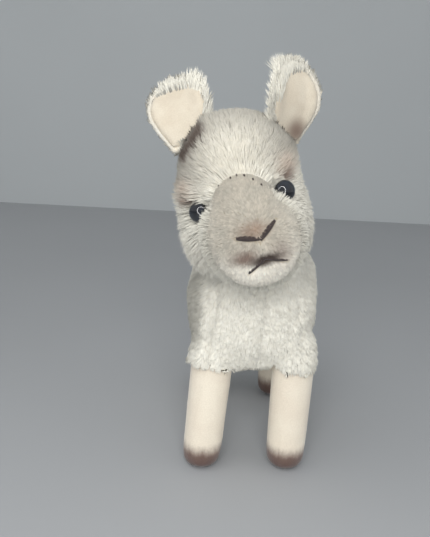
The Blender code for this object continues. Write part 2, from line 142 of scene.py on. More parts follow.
def apply_all(item):
    choose(item)
    for step in list(item.modifiers):
        bpy.ops.object.modifier_apply(modifier=step.name)


def copy_of(node, name):
    """A new object with a frame node's mesh, its doubles merged."""
    item = add_object(name, nodes[node].data.copy())
    item.data.materials.clear()
    edit_all(item)
    bpy.ops.mesh.remove_doubles(threshold=0.00001)
    bpy.ops.object.mode_set(mode="OBJECT")
    return item


def cut_away(item, place, direction):
    """Removes what lies beyond a plane and closes the cut."""
    edit_all(item)
    bpy.ops.mesh.bisect(plane_co=place, plane_no=direction, use_fill=True, clear_outer=True)
    bpy.ops.object.mode_set(mode="OBJECT")


def grow(item, distance):
    add_step(item, "DISPLACE", mid_level=0, strength=distance)
    apply_all(item)


def join(first, *others):
    choose(first, *others)
    bpy.ops.object.join()


def remesh(item, voxel, smoothing):
    """An even mesh of quads over the outer shell, with its small steps smoothed."""
    add_step(item, "REMESH", mode="VOXEL", voxel_size=voxel)
    add_step(item, "SMOOTH", factor=0.5, iterations=smoothing)
    apply_all(item)
    keep_outer_shell(item)


def keep_outer_shell(item):
    """Deletes the small closed shells inside the largest one."""
    edit_all(item)
    bpy.ops.mesh.separate(type="LOOSE")
    bpy.ops.object.mode_set(mode="OBJECT")
    parts = sorted(bpy.context.selected_objects, key=lambda part: len(part.data.vertices))
    shell = parts.pop()
    for part in parts:
        if part != item:
            bpy.data.objects.remove(part)
    if shell != item:
        item.data = shell.data
        bpy.data.objects.remove(shell)


def rows_of(items, name):
    """A vector of each item, as rows of numbers."""
    found = np.empty(len(items) * 3)
    items.foreach_get(name, found)
    return found.reshape(-1, 3)


def points_of(item):
    return rows_of(item.data.vertices, "co")


def move_points(item, places):
    item.data.vertices.foreach_set("co", np.ascontiguousarray(places, dtype=np.float64).ravel())
    item.data.update()


def subdivide(item, levels):
    add_step(item, "SUBSURF", levels=levels, render_levels=levels)
    apply_all(item)


def tree_of(item):
    mesh = item.data
    return BVHTree.FromPolygons(
        [vert.co for vert in mesh.vertices], [face.vertices for face in mesh.polygons])


def depth_in(tree, place):
    """How far a place lies inside a closed surface. It is negative outside."""
    near, normal, _, distance = tree.find_nearest(Vector(place))
    return distance if (near - Vector(place)).dot(normal) > 0 else -distance


def to_head(places):
    """Places or one place in the head's own frame: X to its left, -Y ahead, Z up."""
    return (np.asarray(places, float) - np.array(HEAD_PIVOT)) @ HEAD_ROWS


def from_head(place):
    return HEAD_PLACE @ Vector(place)


def move_in_head(item, local):
    """Sets an object's points from places in the head's frame."""
    move_points(item, local @ HEAD_ROWS.T + np.array(HEAD_PIVOT))


def under(spots, facing, trees):
    """Which places lie inside closed pieces: a ray along the normal meets such a piece from its inside."""
    found = np.zeros(len(spots), dtype=bool)
    for tree in trees:
        for index in np.flatnonzero(~found):
            ahead = Vector(facing[index])
            place, normal, _, _ = tree.ray_cast(Vector(spots[index]), ahead)
            found[index] = place is not None and normal.dot(ahead) > 0
    return found


def line_gap(places, line):
    """How far places lie from a line with corners, in the same two axes."""
    gap = np.full(len(places), 1.0)
    for first, last in zip(line, line[1:]):
        first, step = np.array(first), np.array(last) - np.array(first)
        share = np.clip((places - first) @ step / (step @ step), 0, 1)
        gap = np.minimum(gap, np.linalg.norm(places - first - share[:, None] * step, axis=1))
    return gap


def line_share(places, line, width):
    """1 on a line, fading to 0 past the width, in the same two axes."""
    return np.exp(-(line_gap(places, line) / width) ** 2)


def spot_share(places, centre, radius):
    """1 at a centre, fading to 0 past the radius, in the same two axes."""
    return np.exp(-(np.linalg.norm(places - np.array(centre), axis=1) / radius) ** 2)


def unit(rows):
    rows = np.asarray(rows, float)
    return rows / np.maximum(np.linalg.norm(rows, axis=-1, keepdims=True), 1e-9)


def soft_step(values, low, high):
    share = np.clip((np.asarray(values, float) - low) / (high - low), 0, 1)
    return share * share * (3 - 2 * share)


def hand_over(piece, finish, replaced=()):
    """Gives a finished piece its material and its body, and hides the frame nodes that it replaces."""
    piece.data.materials.clear()
    piece.data.materials.append(finish)
    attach(piece, "root")
    if replaced:
        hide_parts(*replaced)


# Materials

def shade(red, green, blue):
    """A colour that is named as it looks on a screen, 0 to 255, in linear light."""
    linear = []
    for value in (red, green, blue):
        share = value / 255
        linear.append(share / 12.92 if share <= 0.04045 else ((share + 0.055) / 1.055) ** 2.4)
    return tuple(linear)


class Wire:
    """A socket on which arithmetic adds Math nodes."""

    def __init__(self, finish, socket):
        self.finish = finish
        self.socket = socket

    def worked(self, operation, *values):
        return self.finish.add("ShaderNodeMath", {"operation": operation}, dict(enumerate(values)))

    def __add__(self, other):
        return self.worked("ADD", self, other)

    def __sub__(self, other):
        return self.worked("SUBTRACT", self, other)

    def __rsub__(self, other):
        return self.worked("SUBTRACT", other, self)

    def __mul__(self, other):
        return self.worked("MULTIPLY", self, other)

    def larger(self, other):
        return self.worked("MAXIMUM", self, other)

    def between(self, low, high, first=0.0, last=1.0):
        """Rises smoothly from first to last while the value goes from low to high."""
        return self.finish.add(
            "ShaderNodeMapRange", {"interpolation_type": "SMOOTHSTEP"},
            {"Value": self, "From Min": low, "From Max": high, "To Min": first, "To Max": last})

    __radd__ = __add__
    __rmul__ = __mul__


class Finish:
    """A material that is built from nodes."""

    def __init__(self, name, roughness, sheen=0.0, shine=0.3):
        self.material = bpy.data.materials.new(name)
        self.material.use_nodes = True
        self.tree = self.material.node_tree
        self.shader = self.tree.nodes["Principled BSDF"]
        self.shader.inputs["Roughness"].default_value = roughness
        self.shader.inputs["Specular IOR Level"].default_value = shine
        self.shader.inputs["Sheen Weight"].default_value = sheen
        self.shader.inputs["Sheen Roughness"].default_value = 0.5

    def add(self, kind, settings, values, output=0):
        """Any node: its type, its settings, then the values or wires of its sockets."""
        node = self.tree.nodes.new(kind)
        for name, value in settings.items():
            setattr(node, name, value)
        for name, value in values.items():
            self.feed(node.inputs[name], value)
        return Wire(self, node.outputs[output])

    def feed(self, socket, value):
        if isinstance(value, Wire):
            self.tree.links.new(value.socket, socket)
        elif isinstance(value, tuple) and len(value) == 3 and socket.type == "RGBA":
            socket.default_value = (*value, 1.0)
        else:
            socket.default_value = value

    def mix(self, share, first, second, way="MIX"):
        """A colour between two, or the first worked on by the second."""
        return self.add(
            "ShaderNodeMix", {"data_type": "RGBA", "blend_type": way}, {0: share, 6: first, 7: second}, 2)

    def places(self):
        return self.add("ShaderNodeTexCoord", {}, {}, "Object")

    def head_places(self):
        """Object coordinates in the head's own frame."""
        turn = HEAD_TURN.to_euler()
        return self.add(
            "ShaderNodeMapping", {"vector_type": "TEXTURE"},
            {"Vector": self.places(), "Location": tuple(HEAD_PIVOT), "Rotation": tuple(turn)})

    def axis(self, places, name):
        return self.add("ShaderNodeSeparateXYZ", {}, {0: places}, name)

    def grain(self, places, scale, detail=2.0, roughness=0.5, stretch=(1, 1, 1)):
        """Noise from 0 to 1. Its scale is in bumps per metre."""
        stretched = self.add(
            "ShaderNodeMapping", {"vector_type": "POINT"}, {"Vector": places, "Scale": stretch})
        return self.add(
            "ShaderNodeTexNoise", {},
            {"Vector": stretched, "Scale": scale, "Detail": detail, "Roughness": roughness})

    def blot(self, places, centre, radii, edge=0.45):
        """A soft airbrushed spot: 1 in its middle and 0 past its radii."""
        apart = self.add("ShaderNodeVectorMath", {"operation": "SUBTRACT"}, {0: places, 1: centre})
        scaled = self.add("ShaderNodeVectorMath", {"operation": "DIVIDE"}, {0: apart, 1: radii})
        reach = self.add("ShaderNodeVectorMath", {"operation": "LENGTH"}, {0: scaled}, "Value")
        return reach.between(edge, 1.0, 1.0, 0.0)

    def bump(self, height, strength, distance):
        lifted = self.add(
            "ShaderNodeBump", {}, {"Height": height, "Strength": strength, "Distance": distance})
        self.feed(self.shader.inputs["Normal"], lifted)

    def colour(self, value):
        self.feed(self.shader.inputs["Base Color"], value)

    def mottle(self, scale, detail, roughness, first, second, low=0.3):
        """Colours the surface between two tones by noise, and returns the noise."""
        cloud = self.grain(self.places(), scale, detail, roughness)
        self.colour(self.mix(cloud.between(low, 1 - low), first, second))
        return cloud

    def velour(self, places, tone):
        """Short upright nap over a colour."""
        fine = self.grain(places, 1500.0, 3.0, 0.6)
        self.colour(self.mix(fine.between(0.3, 0.7, 0.0, 0.22), tone, shade(208, 202, 194), "MULTIPLY"))
        self.bump(fine, 0.35, 0.0006)


FUR = shade(249, 246, 234)
FUR_CREAM = shade(243, 235, 217)
# Grey painted on the fur as shade where less light falls: the top of the head and the ears
PAINTED_SHADE_GREY = shade(174, 170, 161)
PINKISH = shade(214, 190, 172)
BROWN = shade(112, 86, 76)
# Brown airbrush with painted shade, in the fold at the right ear's root
FOLD_BROWN_AND_SHADE = shade(70, 50, 44)
VELOUR = shade(250, 240, 221)
FACE_TONE = shade(184, 178, 165)
FACE_PALE = shade(254, 249, 236)


def pile_finish():
    """Fur strands: each takes its colour from the mesh, with a fine mottle."""
    finish = Finish("ivory_pile", 0.85, shine=0.15)
    tint = finish.add("ShaderNodeVertexColor", {"layer_name": "tint"}, {}, "Color")
    speck = finish.grain(finish.places(), 420.0, 2.0, 0.6)
    finish.colour(finish.mix(speck.between(0.30, 0.70, 0.0, 0.35), tint, shade(240, 236, 228), "MULTIPLY"))
    return finish.material


def backing_finish():
    """The cloth from which the pile grows, painted a little darker than the pile as shade among its roots.
    """
    finish = Finish("fur_backing", 0.95, shine=0.1)
    places = finish.places()
    fine = finish.grain(places, 900.0, 3.0, 0.6)
    broad = finish.grain(places, 60.0, 2.0, 0.5)
    tone = finish.mix(fine.between(0.3, 0.7), shade(216, 212, 201), shade(236, 232, 221))
    finish.colour(finish.mix(broad.between(0.35, 0.65, 0.0, 0.35), tone, shade(224, 214, 194)))
    finish.bump(fine, 0.6, 0.0012)
    return finish.material


def face_finish(name, fuzz):
    """Short pile with brown shading round the nose and the mouth, for its cloth or for its fuzz."""
    finish = Finish(name, 0.9, sheen=0.25, shine=0.15)
    places = finish.head_places()
    fine = finish.grain(places, 1300.0, 3.0, 0.65)
    soft = finish.grain(places, 160.0, 3.0, 0.6)
    rise = finish.axis(places, "Z")
    aside = finish.add("ShaderNodeMath", {"operation": "ABSOLUTE"}, {0: finish.axis(places, "X") + 0.002})
    tone = finish.mix(rise.between(0.008, 0.026, 0.0, 1.0), FACE_PALE, FACE_TONE)
    tone = finish.mix(aside.between(0.010, 0.024, 0.0, 0.5), tone, shade(226, 221, 208))
    tone = finish.mix(soft.between(0.3, 0.7, 0.0, 0.25), tone, shade(220, 208, 190))
    grain = finish.grain(places, 220.0, 3.0, 0.7)
    ragged = finish.add("ShaderNodeVectorMath", {"operation": "SCALE"}, {0: grain, "Scale": 0.004})
    spread = finish.add("ShaderNodeVectorMath", {"operation": "ADD"}, {0: places, 1: ragged})
    nose = finish.blot(spread, (0.0010, -0.070, 0.0325), (0.0135, 0.06, 0.0075), 0.1)
    right_lip = finish.blot(spread, (-0.0065, -0.070, 0.0195), (0.0125, 0.06, 0.0070), 0.05)
    left_lip = finish.blot(spread, (0.0125, -0.070, 0.0170), (0.0095, 0.06, 0.0105), 0.1)
    mouth = finish.blot(spread, (0.0040, -0.070, 0.0165), (0.0120, 0.06, 0.0050), 0.25)
    tone = finish.mix(nose * 0.62, tone, shade(150, 122, 104))
    tone = finish.mix((right_lip * 0.85).larger(left_lip * 0.52), tone, shade(116, 92, 82))
    tone = finish.mix(mouth * 0.95, tone, shade(60, 46, 42))
    if fuzz:
        tint = finish.add("ShaderNodeVertexColor", {"layer_name": "tint"}, {}, "Color")
        finish.colour(finish.mix(1.0, tone, tint, "MULTIPLY"))
    else:
        finish.colour(finish.mix(fine.between(0.3, 0.7, 0.4, 1.0), tone, shade(226, 220, 210), "MULTIPLY"))
        finish.bump(fine, 0.5, 0.0008)
    return finish.material


def velour_finish():
    """Cream velour of the legs, airbrushed brown at the feet."""
    finish = Finish("cream_velour", 0.88, sheen=0.35, shine=0.15)
    places = finish.places()
    soft = finish.grain(places, 55.0, 3.0, 0.5)
    ragged = finish.grain(places, 300.0, 3.0, 0.7, (1, 1, 0.35))
    rise = finish.axis(places, "Z") + (ragged - 0.5) * 0.006
    tone = finish.mix(soft.between(0.3, 0.7), VELOUR, shade(244, 232, 213))
    tone = finish.mix(rise.between(0.0095, 0.0200, 1.0, 0.0), tone, shade(120, 98, 90))
    tone = finish.mix(rise.between(0.002, 0.0125, 0.75, 0.0), tone, shade(92, 72, 66))
    finish.velour(places, tone)
    return finish.material


def lining_finish(name, brown_and_shade):
    """Velour of an ear's inside, dark at the root with brown airbrush and, in a fold, painted shade. Each
    spot is its centre, radii, colour and share.
    """
    finish = Finish(name, 0.88, sheen=0.35, shine=0.15)
    places = finish.head_places()
    soft = finish.grain(places, 90.0, 3.0, 0.5)
    tone = finish.mix(soft.between(0.3, 0.7), shade(228, 218, 199), shade(220, 208, 188))
    for centre, radii, colour, share in brown_and_shade:
        tone = finish.mix(finish.blot(places, centre, radii, 0.2) * share, tone, colour)
    finish.velour(places, tone)
    return finish.material


def eye_finish():
    """Black plastic with a navy tone and a clear, wet shine."""
    finish = Finish("black_eye_plastic", 0.10, shine=0.5)
    finish.shader.inputs["Coat Weight"].default_value = 1.0
    finish.shader.inputs["Coat Roughness"].default_value = 0.03
    finish.mottle(260.0, 2.0, 0.5, shade(14, 16, 22), shade(24, 30, 40), 0.35)
    return finish.material


def washer_finish():
    """White moulded plastic, dull and slightly uneven."""
    finish = Finish("white_moulded_plastic", 0.45, shine=0.5)
    cloud = finish.mottle(500.0, 2.0, 0.5, shade(228, 228, 224), shade(214, 214, 208))
    finish.bump(cloud, 0.2, 0.0002)
    return finish.material


def thread_finish():
    """Dark brown embroidery thread with fine fibres along it."""
    finish = Finish("dark_embroidery_thread", 0.62, sheen=0.3, shine=0.35)
    fibre = finish.mottle(2600.0, 3.0, 0.6, shade(38, 29, 28), shade(66, 53, 50))
    finish.bump(fibre, 0.6, 0.0003)
    return finish.material


# Camera, lights, floor and backdrop

def add_camera():
    pitch = math.radians(CAMERA_PITCH)
    roll = math.radians(CAMERA_ROLL)
    level = Vector((1, 0, 0))
    ahead = Vector((0, math.cos(pitch), -math.sin(pitch)))
    above = Vector((0, math.sin(pitch), math.cos(pitch)))
    right = level * math.cos(roll) + above * math.sin(roll)
    up = above * math.cos(roll) - level * math.sin(roll)
    lens = bpy.data.cameras.new("camera")
    lens.sensor_width = SENSOR_WIDTH
    lens.lens = FOCAL_PIXELS * SENSOR_WIDTH / PHOTO_HEIGHT
    lens.clip_start = 0.01
    camera = add_object("camera", lens)
    turn = Matrix((right, up, -ahead)).transposed().to_4x4()
    camera.matrix_world = Matrix.Translation(CAMERA_PLACE) @ turn
    bpy.context.scene.camera = camera
    return camera


def add_lamp(name, place, target, size, power):
    light = bpy.data.lights.new(name, "AREA")
    light.shape = "DISK"
    light.size = size
    light.energy = power
    lamp = add_object(name, light)
    lamp.location = place
    lamp.rotation_mode = "QUATERNION"
    lamp.rotation_quaternion = (Vector(target) - Vector(place)).to_track_quat("-Z", "Y")
    lamp.visible_glossy = False


def add_ring_lamp(camera):
    """A ring-shaped studio lamp round the camera, which the eyes reflect."""
    choose(camera)
    bpy.ops.mesh.primitive_torus_add(
        major_radius=0.23, minor_radius=0.0073, major_segments=64, minor_segments=12,
        location=camera.matrix_world.to_translation(), rotation=camera.matrix_world.to_euler())
    ring = bpy.context.object
    ring.name = "ring_lamp"
    ring.visible_camera = False
    ring.visible_diffuse = False
    finish = Finish("ring_lamp_light", 0.5)
    finish.shader.inputs["Base Color"].default_value = (0, 0, 0, 1)
    finish.shader.inputs["Emission Color"].default_value = (1.0, 0.985, 0.96, 1)
    finish.shader.inputs["Emission Strength"].default_value = 20.0
    ring.data.materials.append(finish.material)


def add_floor():
    """A pale table top and a plain wall behind it."""
    for name, place, turn, tone in (
            ("floor", (0, 0, 0), (0, 0, 0), shade(176, 178, 180)),
            ("backdrop", (0, 0.88, 2.0), (math.pi / 2, 0, 0), shade(206, 210, 211))):
        bpy.ops.object.select_all(action="DESELECT")
        bpy.ops.mesh.primitive_plane_add(size=8.0, location=place, rotation=turn)
        sheet = bpy.context.object
        sheet.name = name
        finish = Finish(name + "_paint", 0.75, shine=0.2)
        cloud = finish.grain(finish.places(), 2.5, 2.0, 0.5)
        finish.colour(finish.mix(cloud.between(0.3, 0.7, 0.0, 0.5), tone, tuple(v * 0.94 for v in tone)))
        sheet.data.materials.append(finish.material)


def add_world():
    world = bpy.data.worlds.new("studio")
    world.use_nodes = True
    sky = world.node_tree.nodes["Background"]
    sky.inputs["Color"].default_value = (0.96, 0.98, 1.0, 1)
    sky.inputs["Strength"].default_value = 0.51
    bpy.context.scene.world = world


# Stuffed covers

def start_stuffing(piece):
    """Cloth with air pressure in it, which swells a cover as its stuffing does."""
    step = piece.modifiers.new("stuffing", "CLOTH")
    step.settings.use_pressure = True
    step.settings.uniform_pressure_force = STUFFING_PRESSURE
    step.settings.effector_weights.gravity = 0
    step.settings.quality = 4
    step.point_cache.frame_start = 1
    step.point_cache.frame_end = STUFFING_FRAMES


def stuff(pieces):
    """Runs the cloth of all covers at once. Each comes with the cap on how far its points may move."""
    before = {}
    for piece, _ in pieces:
        before[piece.name] = points_of(piece)
        start_stuffing(piece)
    scene = bpy.context.scene
    for number in range(1, STUFFING_FRAMES + 1):
        scene.frame_set(number)
    for piece, cap in pieces:
        apply_all(piece)
        moves = points_of(piece) - before[piece.name]
        reach = np.linalg.norm(moves, axis=1, keepdims=True)
        share = np.minimum(1, cap / np.maximum(reach, 1e-9))
        move_points(piece, before[piece.name] + moves * share)
    scene.frame_set(1)


def make_body():
    """The coat from the rump to the top of the neck, closed where the legs and the head are seated."""
    body = copy_of("body", "body_cover")
    plugs = []
    for leg in LEGS:
        plug = copy_of(leg, leg + "_plug")
        cut_away(plug, (0, 0, HEM_HEIGHT + 0.003), (0, 0, -1))
        plugs.append(plug)
    plug = copy_of("head", "head_plug")
    grow(plug, PLUG_INSET)
    cut_away(plug, from_head((0, 0, 0.030)), HEAD_TURN @ Vector((0, 0, 1)))
    plugs.append(plug)
    plug = copy_of("tail", "tail_plug")
    cut_away(plug, (0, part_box("body")[1].y - 0.002, 0), (0, 1, 0))
    plugs.append(plug)
    join(body, *plugs)
    remesh(body, 0.0032, 5)
    grow(body, -0.0020)
    shape_neck(body)
    return body


def shape_neck(body):
    """The neck is slimmer under the right cheek, and the chest stands proud of it and hangs straight."""
    places = points_of(body)
    front = 1 - soft_step(places[:, 1], -0.012, 0.012)
    neck = soft_step(places[:, 2], 0.112, 0.126) * (1 - soft_step(places[:, 2], 0.150, 0.165)) * front
    right = soft_step(MIDDLE_X - places[:, 0], 0.004, 0.024)
    places[:, 0] += 0.0045 * neck * right
    low = 1 - soft_step(places[:, 2], 0.110, 0.124)
    places[:, 0] -= 0.0016 * low * right * front
    skirt = (1 - soft_step(places[:, 2], 0.070, 0.100)) * (1 - soft_step(places[:, 1], -0.046, -0.020))
    places[:, 1] -= 0.0030 * skirt
    under_side = 1 - soft_step(places[:, 2], 0.070, 0.084)
    between = np.exp(-((places[:, 0] - 0.0135) / 0.013) ** 4)
    places[:, 2] += (0.0020 * (1 - between) - 0.0052 * between) * under_side
    flat = places[:, [0, 2]]
    ahead = 1 - soft_step(places[:, 1], -0.040, -0.028)
    for line, depth, _ in CHEST_LINES:
        places[:, 1] += depth * ahead * line_share(flat, line, 0.0026)
    move_points(body, places)


def make_head():
    head = copy_of("head", "head_cover")
    face = copy_of("face", "face_plug")
    grow(face, PLUG_INSET)
    join(head, face, *(copy_of(side + "_eye_washer", side + "_plug") for side in SIDES))
    remesh(head, 0.003, 4)
    grow(head, -0.0024)
    local = to_head(points_of(head))
    cheek = soft_step(local[:, 2], 0.002, 0.014) * (1 - soft_step(local[:, 2], 0.045, 0.062))
    left = soft_step(local[:, 0], 0.008, 0.028)
    right = soft_step(-local[:, 0], 0.010, 0.028)
    local[:, 0] -= cheek * (0.0022 * left + 0.0002 * right)
    move_in_head(head, local)
    return head


def narrow_bridge(face):
    """The short pile is narrower between the eyes than round the nose."""
    local = to_head(points_of(face))
    share = 1 - 0.16 * soft_step(local[:, 2], 0.026, 0.048)
    local[:, 0] = -0.0018 + (local[:, 0] + 0.0018) * share
    move_in_head(face, local)


def make_plain_cover(node, name, voxel, smoothing, growth):
    cover = copy_of(node, name)
    remesh(cover, voxel, smoothing)
    if growth:
        grow(cover, growth)
    return cover


def flatten_sole(leg):
    """A leg stands flat on the floor."""
    places = points_of(leg)
    places[:, 2] = np.where(places[:, 2] < 0.0009, 0.0, places[:, 2])
    move_points(leg, places)


# Combed pile

def strand_shape(bent):
    """One strand, modelled once: three sides and a pointed tip, with or without a bend in the middle."""
    bpy.ops.object.select_all(action="DESELECT")
    bpy.ops.mesh.primitive_cone_add(vertices=3, radius1=0.5, radius2=0, depth=1, location=(0, 0, 0.5))
    strand = bpy.context.object
    edit_all(strand)
    if bent:
        bpy.ops.mesh.bisect(plane_co=(0, 0, 0.55), plane_no=(0, 0, 1))
    bpy.ops.transform.resize(value=(1.75, 1.75, 1))
    bpy.ops.object.mode_set(mode="OBJECT")
    places = points_of(strand) + np.array((0, 0, 0.5))
    faces = [tuple(face.vertices) for face in strand.data.polygons]
    bpy.data.objects.remove(strand)
    return places, faces


def scatter(skin, count, seed, weight=None):
    """Places spread evenly over a skin, with its smooth normals. A weight thins them out."""
    mesh = skin.data
    mesh.calc_loop_triangles()
    corners = np.empty(len(mesh.loop_triangles) * 3, dtype=np.int32)
    mesh.loop_triangles.foreach_get("vertices", corners)
    corners = corners.reshape(-1, 3)
    places = points_of(skin)[corners]
    normals = rows_of(mesh.vertex_normals, "vector")[corners]
    edges = places[:, 1:] - places[:, :1]
    share = np.linalg.norm(np.cross(edges[:, 0], edges[:, 1]), axis=1)
    if weight is not None:
        share = share * weight(places.mean(1))
    draw = np.random.default_rng(seed)
    face = draw.choice(len(share), size=count, p=share / share.sum())
    a = np.sqrt(draw.random(count))[:, None]
    b = draw.random(count)[:, None]
    mixed = (1 - a, a * (1 - b), a * b)
    spots = sum(part * places[face, corner] for corner, part in enumerate(mixed))
    facing = unit(sum(part * normals[face, corner] for corner, part in enumerate(mixed)))
    return spots, facing


def tuft_leaders(spots, seed, each):
    """For each strand the one round which its tuft gathers."""
    draw = np.random.default_rng(seed)
    chosen = draw.choice(len(spots), size=max(1, len(spots) // each), replace=False)
    tree = kdtree.KDTree(len(chosen))
    for index in chosen:
        tree.insert(Vector(spots[index]), int(index))
    tree.balance()
    return np.array([tree.find(Vector(spot))[1] for spot in spots])


BENT = strand_shape(True)
STRAIGHT = strand_shape(False)


def lay_strands(name, spots, facing, along, length, width, lift, tint, seed, part=slice(None),
                pull=0.3, round_off=0.5, sink=0.0006, shape=BENT, each=9, mottle=0.05):
    """One mesh of many strands, on all of the places or on a part of them.

    Each strand starts under the skin, follows its combing and ends in a point. The shading
    follows the skin more than each strand, as it does on dense soft pile.
    """
    shape_places, shape_faces = shape
    length, lift, round_off = (
        np.broadcast_to(rows, len(spots))[part] for rows in (length, lift, round_off))
    spots, facing, along, tint = (rows[part] for rows in (spots, facing, along, tint))
    count = len(spots)
    draw = np.random.default_rng(seed)
    along = unit(along - facing * np.sum(along * facing, axis=1, keepdims=True))
    side = np.cross(facing, along)
    sway = draw.normal(0, 0.20, count)[:, None]
    along = unit(along + side * sway)
    side = np.cross(facing, along)
    length = (length * draw.uniform(0.75, 1.15, count))[:, None]
    width = (width * draw.uniform(0.75, 1.25, count))[:, None]
    lift = (lift * draw.uniform(0.8, 1.2, count))[:, None]
    root = spots - facing * sink
    elbow = root + (along * np.cos(lift * 1.25) + facing * np.sin(lift * 1.25)) * length * 0.5
    tip = elbow + (along * np.cos(lift * 0.6) + facing * np.sin(lift * 0.6)) * length * 0.5
    leader = tuft_leaders(spots, seed + 1, each)
    gathered = pull * draw.uniform(0.5, 1.0, count)[:, None]
    tip = tip + (tip[leader] - tip) * gathered
    elbow = elbow + (elbow[leader] - elbow) * gathered * 0.4
    round_off = round_off[:, None]
    reach = unit(tip - root)
    thick = unit(np.cross(reach, side))
    solid = np.clip(round_off * 2 - 1, 0, 1)
    rows = []
    lights = []
    for across, up, share in shape_places:
        middle = root * (1 - share) ** 2 + elbow * 2 * share * (1 - share) + tip * share ** 2
        rows.append(middle + side * across * width + thick * up * width * 0.6)
        own = side * across * 1.6 + thick * (up + 0.25 * (1 - solid))
        own = unit(own + facing * 0.15 + reach * 0.35 * solid)
        turned = round_off + (np.maximum(round_off, 0.85) - round_off) * share
        lights.append(unit(facing * (1 - turned) + own * turned))
    size = len(shape_places)
    places = np.stack(rows, 1).reshape(-1, 3)
    normals = np.stack(lights, 1).reshape(-1, 3)
    starts = np.arange(count) * size
    corners = np.concatenate([np.array(face) for face in shape_faces])
    sizes = np.array([len(face) for face in shape_faces])
    mesh = bpy.data.meshes.new(name)
    mesh.vertices.add(count * size)
    mesh.vertices.foreach_set("co", places.ravel())
    mesh.loops.add(count * len(corners))
    mesh.loops.foreach_set("vertex_index", (starts[:, None] + corners).ravel())
    mesh.polygons.add(count * len(sizes))
    sizes = np.tile(sizes, count)
    mesh.polygons.foreach_set("loop_start", np.cumsum(sizes) - sizes)
    mesh.update(calc_edges=True)
    mesh.shade_smooth()
    mesh.normals_split_custom_set_from_vertices(normals)
    depth = np.array([share for _, _, share in shape_places])
    # Each tuft's tone varies at random, and each strand is painted darker towards its root as shade among
    # the roots
    tone = draw.uniform(1 - mottle, 1 + mottle * 0.6, count)[leader] * draw.uniform(0.96, 1.03, count)
    light = (0.92 + 0.12 * depth)[None, :, None] * tone[:, None, None]
    colours = np.ones((count, size, 4))
    colours[:, :, :3] = tint[:, None, :] * light
    layer = mesh.color_attributes.new("tint", "FLOAT_COLOR", "POINT")
    layer.data.foreach_set("color", colours.ravel())
    return add_object(name, mesh)


def outside(spots, tree, margin):
    """Which places lie outside another piece, by a margin."""
    return np.array([depth_in(tree, spot) <= -margin for spot in spots])


def tinted(tint, share, colour):
    """Colours, or one colour, each mixed with another by its own share."""
    return np.asarray(tint) * (1 - share[:, None]) + np.array(colour) * share[:, None]


def from_axis(places, centre, axis):
    """How far places lie along an axis from its centre, and how far aside of it."""
    apart = places - np.array(centre)
    height = apart @ np.array(axis)
    return height, np.linalg.norm(apart - height[:, None] * np.array(axis), axis=1)


def clear_of_eyes(spots, eyes, radius):
    keep = np.ones(len(spots), dtype=bool)
    for place, axis in eyes:
        height, aside = from_axis(spots, place, axis)
        keep &= (aside > radius) | (np.abs(height) > 0.010)
    return keep


def head_combing(local, facing):
    """Fur fans out from the middle of the face, and lies down the back of the head."""
    fan = local - np.array((-0.001, -0.030, 0.040))
    fan[:, 1] *= 0.35
    back = soft_step(local[:, 1], 0.0, 0.025)[:, None]
    jaw = (1 - soft_step(local[:, 2], 0.004, 0.020))[:, None]
    top = soft_step((facing @ HEAD_ROWS)[:, 2], 0.70, 0.95)[:, None]
    fan = unit(fan) + np.array((0, 0, -1.0)) * jaw + np.array((0, 0.8, 0)) * top
    lying = unit(fan) * (1 - back) + np.array((0, 0.5, -1.0)) * back
    return unit(lying)


